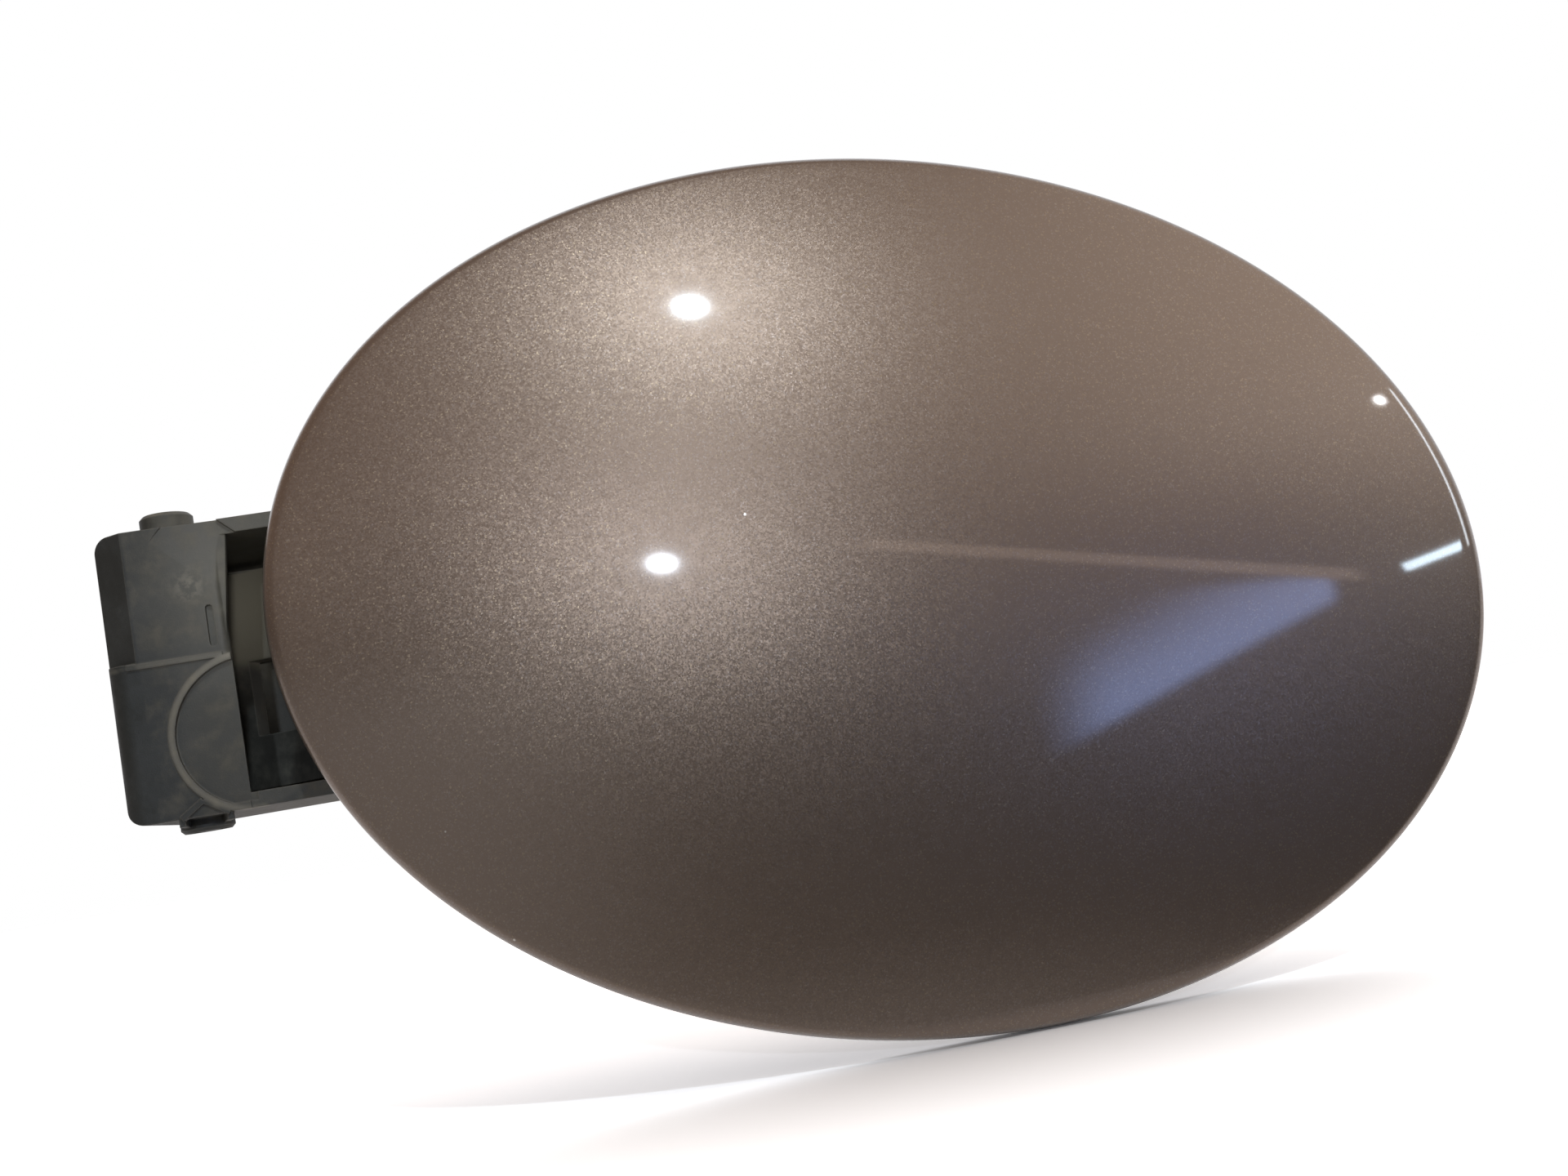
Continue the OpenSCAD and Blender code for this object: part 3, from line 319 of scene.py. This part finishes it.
def tube_along(name, run, radius, sides):
    """A round wire along a run of points, its rings carried without twisting, closed at both ends."""
    points, faces = [], []
    side = Vector((1, 0, 0))
    for i, middle in enumerate(run):
        way = (run[min(i + 1, len(run) - 1)] - run[max(i - 1, 0)]).normalized()
        side = (side - side.dot(way) * way).normalized()
        other = way.cross(side)
        for k in range(sides):
            turn = 2 * math.pi * k / sides
            points.append(middle + radius * (math.cos(turn) * side + math.sin(turn) * other))
    for i in range(len(run) - 1):
        for k in range(sides):
            a, b = i * sides + k, i * sides + (k + 1) % sides
            faces.append((a, b, b + sides, a + sides))
    faces += [tuple(range(sides))[::-1], tuple((len(run) - 1) * sides + k for k in range(sides))]
    mesh = bpy.data.meshes.new(name)
    mesh.from_pydata(points, [], faces)
    for face in mesh.polygons:
        face.use_smooth = len(face.vertices) == 4
    made = bpy.data.objects.new(name, mesh)
    bpy.context.scene.collection.objects.link(made)
    return made


spring_steel = coated_steel("spring_steel", (0.33, 0.325, 0.31), 0.3)
spring = tube_along("wound_spring", wire_run(), wire_radius, sides=14)
spring.data.materials.append(spring_steel.material)
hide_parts("torsion_spring")
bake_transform(spring)


# Goose-neck arm: black nylon like the housing. Its bend looks out of the housing's mouth. There its upper
# half is painted pale brown, partly dust and partly painted light. Its lower half gets little, so that it
# stays dark as painted shade. The pad behind the door has stayed clean.
def dust_and_light_on_the_bend(finish):
    """Pale brown on the bend, partly dust and partly painted light: strong above the window, and weak below
    it, where it stays dark as painted shade.
    """
    place = finish.place()
    bend = finish.span(finish.part_of(place, "X"), pin.x + 24 * MM, pin.x + 16 * MM)
    upper = finish.span(finish.part_of(place, "Z"), 1 * MM, 4 * MM)
    return bend * (0.12 + 0.88 * upper)


arm_black = moulded_black("black_plastic", (0.022, 0.022, 0.021), (0.05, 0.05, 0.047), 0.3, dust_and_light_on_the_bend)
dress(arm_black, "hinge_arm")


# Cap holder: a moulded rest of black nylon for the filler cap, riveted to the inner panel. It has
# stayed clean behind the shut door.
def nowhere(finish):
    return 0.0


clean_black = moulded_black("holder_plastic", (0.020, 0.020, 0.019), (0.038, 0.038, 0.036), 0.12, nowhere)
dress(clean_black, "cap_holder", "holder_rivets")


# Outer panel: pressed steel sprayed bronze brown with metal flake, under clear lacquer. The crown
# is one dome, its rim is rolled over a small radius and the edge is folded flat behind.
panel_low, panel_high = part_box("outer_panel")
long_radius = 90 * MM
short_radius = 64.5 * MM
lean = math.radians(10.8)
crown_radius = 400 * MM
rim_radius = 2.5 * MM
rim_depth = 3.4 * MM
fold_radius = 1.2 * MM
hem_width = 8 * MM
sheet = 0.8 * MM
crown_steps, rim_steps, fold_steps, oval_steps = 44, 10, 8, 432
panel_middle = (panel_low + panel_high) / 2
rim_y = panel_high.y - rim_depth


def sweep_round(x, z, radius, start, end, steps):
    turns = [math.radians(start + (end - start) * i / steps) for i in range(steps + 1)]
    return [(x + radius * math.cos(t), z + radius * math.sin(t)) for t in turns]


def skin_line(inset):
    """Half the panel's section, from the crown's middle out over the rim to the folded edge."""
    level = math.sqrt((crown_radius - rim_radius) ** 2 - (long_radius - rim_radius) ** 2)
    tip = math.degrees(math.asin((long_radius - rim_radius) / (crown_radius - rim_radius)))
    fold_z = -rim_depth + fold_radius
    crown = sweep_round(0, -level, crown_radius - inset, 90, 90 - tip, crown_steps)
    rim = sweep_round(long_radius - rim_radius, 0, rim_radius - inset, 90 - tip, 0, rim_steps)
    fold = sweep_round(long_radius - fold_radius, fold_z, fold_radius - inset, 0, -90, fold_steps)
    hem = [(long_radius - hem_width * t, -rim_depth + inset) for t in (0.4, 0.7, 1.0)]
    return crown + rim[1:] + fold + hem


def oval_shell(name, line):
    """Carries a closed section round the oval."""
    points, faces = [], []
    for i in range(oval_steps):
        t = 2 * math.pi * i / oval_steps
        for r, w in line:
            x, z = r * math.cos(t), r * math.sin(t) * short_radius / long_radius
            points.append((panel_middle.x + x * math.cos(lean) + z * math.sin(lean), rim_y - w,
                           panel_middle.z - x * math.sin(lean) + z * math.cos(lean)))
    count = len(line)
    for i in range(oval_steps):
        j = (i + 1) % oval_steps
        for k in range(count - 1):
            a, b = i * count + k, j * count + k
            faces.append((a, a + 1, b + 1, b))
    mesh = bpy.data.meshes.new(name)
    mesh.from_pydata(points, [], faces)
    mesh.validate()
    built = bpy.data.objects.new(name, mesh)
    bpy.context.scene.collection.objects.link(built)
    bpy.context.view_layer.objects.active = built
    return built


def clean_mesh(built, gap=0.00002):
    """Welds the doubled points at the oval's middle and turns the faces outward."""
    work = bmesh.new()
    work.from_mesh(built.data)
    bmesh.ops.remove_doubles(work, verts=work.verts, dist=gap)
    bmesh.ops.dissolve_degenerate(work, edges=work.edges, dist=gap / 2)
    bmesh.ops.recalc_face_normals(work, faces=work.faces)
    for face in work.faces:
        face.smooth = True
    work.to_mesh(built.data)
    work.free()


outer_line = skin_line(0)
inner_line = skin_line(sheet)
panel = oval_shell("painted_skin", outer_line + inner_line[::-1])
clean_mesh(panel)


def bronze_paint(name):
    """Bronze metal flake under clear lacquer: the flakes tip the base layer and not the lacquer."""
    flake_size, flake_tip, speck_spacing, cloud_size = 0.20 * MM, 0.10, 16 * MM, 2 * MM
    bronze, gold_flake = (0.208, 0.158, 0.124), (0.40, 0.32, 0.21)
    grey_flake, pale_dust = (0.30, 0.27, 0.26), (0.62, 0.60, 0.56)
    finish = Finish(name, {"Metallic": 0.95, "Coat Roughness": 0.045})
    flake = finish.node("ShaderNodeTexVoronoi", {}, {"Vector": finish.place(), "Scale": 1 / flake_size},
                        out="Color")
    tipped = finish.node("ShaderNodeVectorMath", {"operation": "SUBTRACT"}, {0: flake, 1: (0.5, 0.5, 0.5)})
    tilt = finish.node("ShaderNodeVectorMath", {"operation": "SCALE"}, {0: tipped, "Scale": flake_tip})
    leant = finish.node("ShaderNodeVectorMath", {"operation": "ADD"}, {0: finish.facing(), 1: tilt})
    normal = finish.node("ShaderNodeVectorMath", {"operation": "NORMALIZE"}, {0: leant})
    chance = finish.part_of(flake, "X")
    gold = finish.span(chance, 0.92, 1.0)
    grey = finish.span(finish.part_of(flake, "Y"), 0.80, 1.0)
    base = finish.blend(gold * 0.35, bronze, gold_flake)
    base = finish.blend(grey * 0.3, base, grey_flake)
    cell = finish.node("ShaderNodeTexVoronoi", {}, {"Vector": finish.place(), "Scale": 1 / speck_spacing})
    speck = finish.span(cell, 0.016, 0.008)
    finish.feed({"Base Color": finish.blend(speck, base, pale_dust),
                 "Coat Weight": 1 - speck,
                 "Roughness": 0.36 + 0.06 * finish.noise(cloud_size),
                 "Normal": normal})
    return finish


paint = bronze_paint("body_paint")
panel.data.materials.append(paint.material)
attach(panel, "door")
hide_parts("outer_panel")


# Inner panel: pressed steel in a thin coat of the same bronze without lacquer, greyed by the
# spray and dust that get behind the door.
def thin_paint(name):
    speck_size, speck_depth, film_size, edge_radius = 0.3 * MM, 0.006 * MM, 9 * MM, 0.3 * MM
    dark_bronze, light_bronze, grey_film = (0.125, 0.092, 0.074), (0.175, 0.132, 0.108), (0.16, 0.14, 0.115)
    finish = Finish(name, {"Metallic": 0.35})
    speck = finish.noise(speck_size, 2.0)
    film = finish.span(finish.noise(film_size, 6.0, 0.6), 0.4, 0.75)
    finish.soft_edges(edge_radius, speck, speck_depth)
    painted = finish.blend(speck, dark_bronze, light_bronze)
    finish.feed({"Base Color": finish.blend(film * 0.35, painted, grey_film),
                 "Roughness": 0.42 + 0.3 * film})
    return finish


inner = thin_paint("inner_paint")
dress(inner, "inner_panel")


# Reinforcing plate, nuts, screws and striker: stamped and headed steel, zinc-plated. The screws
# clamp the arm to the plate's nuts and the striker to its own.
dress(zinc, "reinforcement_plate", "weld_nuts", "arm_screws", "latch_striker", "striker_screws",
      "striker_nuts")


# Mastic pads: soft grey sealant laid by hand between skin and inner panel, which keeps the door
# from drumming.
def mastic_finish(name):
    lump_size, lump_depth, edge_radius = 1.5 * MM, 0.08 * MM, 0.4 * MM
    dark_grey, light_grey = (0.06, 0.06, 0.057), (0.11, 0.11, 0.105)
    finish = Finish(name, {"Roughness": 0.7})
    lump = finish.noise(lump_size, 4.0)
    finish.soft_edges(edge_radius, lump, lump_depth)
    finish.feed({"Base Color": finish.blend(lump, dark_grey, light_grey)})
    return finish


dress(mastic_finish("mastic"), "mastic_pads")


# Buffers: black rubber plugs, pushed through holes in the inner panel. The shut door rests on
# them.
dress(rubber, "upper_buffer", "lower_buffer")


# Camera: held close in front of the door, a little low and to the left, rolled so that the
# hinge leans to the left.
lens = 40
camera_at = Vector((25.3, -295.8, -29.8)) * MM
look_turn, look_lift, look_roll = math.radians(-8.5), math.radians(-6.1), math.radians(10)
back = Vector((math.sin(look_turn) * math.cos(look_lift), -math.cos(look_turn) * math.cos(look_lift),
               math.sin(look_lift)))
level = Vector((0, 0, 1)).cross(back).normalized()
upright = back.cross(level)
right = level * math.cos(look_roll) - upright * math.sin(look_roll)
up = level * math.sin(look_roll) + upright * math.cos(look_roll)
camera_data = bpy.data.cameras.new("camera")
camera_data.lens = lens
camera_data.sensor_width = 36
camera_data.clip_start = 0.01
camera = bpy.data.objects.new("camera", camera_data)
camera.matrix_world = Matrix(((right.x, up.x, back.x, camera_at.x), (right.y, up.y, back.y, camera_at.y),
                              (right.z, up.z, back.z, camera_at.z), (0, 0, 0, 1)))
bpy.context.scene.collection.objects.link(camera)
bpy.context.scene.camera = camera


# Floor: a plain white sheet under the part, level, which keeps its shadow, and near the part it is painted
# darker as shade. Its front part only shows itself, so that the light that the door gets from below stays
# as it is.
floor_z = cad_low.z - 0.3 * MM
front_edge, half_width, far_edge, near_edge = -56 * MM, 3, 4, -1
contact_reach = 90 * MM
floor_parts = []
for name, low_y, high_y in (("floor", front_edge, far_edge), ("floor_front", near_edge, front_edge)):
    sheet_mesh = bpy.data.meshes.new(name)
    corners = [(-half_width, low_y), (half_width, low_y), (half_width, high_y), (-half_width, high_y)]
    sheet_mesh.from_pydata([(x, y, floor_z) for x, y in corners], [], [(0, 1, 2, 3)])
    floor_parts.append(bpy.data.objects.new(name, sheet_mesh))
    bpy.context.scene.collection.objects.link(floor_parts[-1])
front_part = floor_parts[1]
front_part.visible_diffuse = front_part.visible_glossy = front_part.visible_shadow = False
front_part.visible_transmission = False
white = Finish("floor_white", {"Roughness": 0.9, "Specular IOR Level": 0.1,
                               "Base Color": (0.95, 0.95, 0.95, 1)})
seen = white.node("ShaderNodeLightPath", out="Is Camera Ray")
twice = white.node("ShaderNodeBsdfDiffuse", {}, {"Color": (0.98, 1.0, 1.0, 1)})
plain = Wire(white, white.shader.outputs[0])
both = white.node("ShaderNodeAddShader", {}, {0: plain, 1: twice})
# Painted shade: where ambient occlusion finds the floor closed in by the part, it loses its extra white for
# the eye and shows darker.
open_air = white.node("ShaderNodeAmbientOcclusion", {"samples": 12}, {"Distance": contact_reach}, out="AO")
clear = white.span(open_air, 0.35, 0.95)
lit = white.node("ShaderNodeMixShader", {}, {0: seen * clear, 1: plain, 2: both})
white.tree.links.new(lit.socket, white.tree.nodes["Material Output"].inputs["Surface"])
for part in floor_parts:
    part.data.materials.append(white.material)


# Light: two small lamps in front, a torch held into the housing's mouth, and far to the right a
# third lamp and the strips of a window frame and its sill. The room is white behind the door and
# dim in front, with a warm wall, a shelf's edge and a bluish window on the right.
def lamp(name, at, size, power, colour=(1, 1, 1), size_y=None):
    """A lamp turned to the door's middle: a disk, or a rectangle if it has a size_y."""
    data = bpy.data.lights.new(name, "AREA")
    data.shape, data.size, data.size_y = ("RECTANGLE" if size_y else "DISK"), size, size_y or size
    data.energy, data.color = power, colour
    made = bpy.data.objects.new(name, data)
    made.location = at
    made.rotation_euler = (door_middle - at).to_track_quat("-Z", "Y").to_euler()
    bpy.context.scene.collection.objects.link(made)
    return made


door_middle = Vector((panel_middle.x, rim_y, panel_middle.z))
lamp("upper_lamp", Vector((86, -645, 501)) * MM, size=24 * MM, power=1.62, colour=(0.80, 0.91, 1))
lamp("lower_lamp", Vector((-22, -795, 130)) * MM, size=14 * MM, size_y=9 * MM, power=1.15,
     colour=(0.81, 0.89, 1))

mouth = Vector((pin.x + 11 * MM, pin.y, 11 * MM))
torch = bpy.data.lights.new("torch", "SPOT")
torch.energy, torch.shadow_soft_size = 2.2, 12 * MM
torch.spot_size, torch.spot_blend = math.radians(5), 1.0
torch_held = bpy.data.objects.new("torch", torch)
torch_held.location = mouth + Vector((54, -370, -14)) * MM
torch_held.rotation_euler = (mouth - torch_held.location).to_track_quat("-Z", "Y").to_euler()
bpy.context.scene.collection.objects.link(torch_held)

lamp("far_lamp", Vector((851, -554, 285)) * MM, size=14 * MM, power=0.03)
lamp("frame_lamp", Vector((800, -440, 150)) * MM, size=12 * MM, size_y=240 * MM, power=0.13,
     colour=(0.86, 0.93, 1))
sill = lamp("sill_lamp", Vector((873, -599, 28)) * MM, size=105 * MM, size_y=13 * MM, power=0.11,
            colour=(0.70, 0.86, 1))
sill.rotation_euler.rotate_axis("Z", math.radians(17))

world = bpy.data.worlds.new("world")
bpy.context.scene.world = world
world.use_nodes = True


class Room(Finish):
    """The same node helpers, on the world's own tree."""

    def __init__(self, holder):
        self.tree = holder.node_tree
        self.shader = self.tree.nodes["Background"]


room = Room(world)
direction = room.node("ShaderNodeTexCoord", out="Generated")
back_share, height, rightward = (room.part_of(direction, axis) for axis in ("Y", "Z", "X"))
behind = room.span(back_share + 0.4 * rightward, 0.0, 0.45)
wall_right = room.span(rightward, 0.25, 0.65) * room.span(height, 0.08, 0.34)
floor_left = room.span(rightward, -0.05, -0.45) * room.span(height, 0.10, -0.10)
above_sill = height - 0.667 * rightward + 0.489
window = room.span(above_sill, 0.0, 0.03) * room.span(above_sill, 0.21, 0.03)
window = window * room.span(height, 0.045, 0.015)
window = window * room.span(rightward, 0.31, 0.43) * room.span(rightward, 0.70, 0.68)
above_shelf = height + 0.26 * rightward
shelf_edge = room.span(above_shelf, 0.198, 0.206) * room.span(above_shelf, 0.226, 0.218)
shelf_edge = shelf_edge * room.span(rightward, 0.12, 0.20) * room.span(rightward, 0.74, 0.70)
dim_room, upper_room, warm_wall = (0.03, 0.03, 0.03), (0.38, 0.29, 0.24), (1.15, 1.02, 0.92)
grey_floor, blue_window, brown_shelf = (0.44, 0.42, 0.41), (1.9, 2.6, 5.0), (1.6, 1.2, 0.95)
table_below, white_room = (0.50, 0.47, 0.45), (0.95, 0.96, 1.0)
front = room.blend(room.span(height, 0.02, 0.40), dim_room, upper_room)
front = room.blend(wall_right, front, warm_wall)
front = room.blend(floor_left, front, grey_floor)
front = room.blend(window, front, blue_window)
front = room.blend(shelf_edge, front, brown_shelf)
front = room.blend(room.span(height, -0.5, -0.75), front, table_below)
around = room.blend(behind, front, white_room)
seen_by_eye = room.node("ShaderNodeLightPath", out="Is Camera Ray")
room.feed({"Color": room.blend(seen_by_eye, around, (1, 1, 1))})

bpy.context.scene.view_settings.view_transform = "Standard"
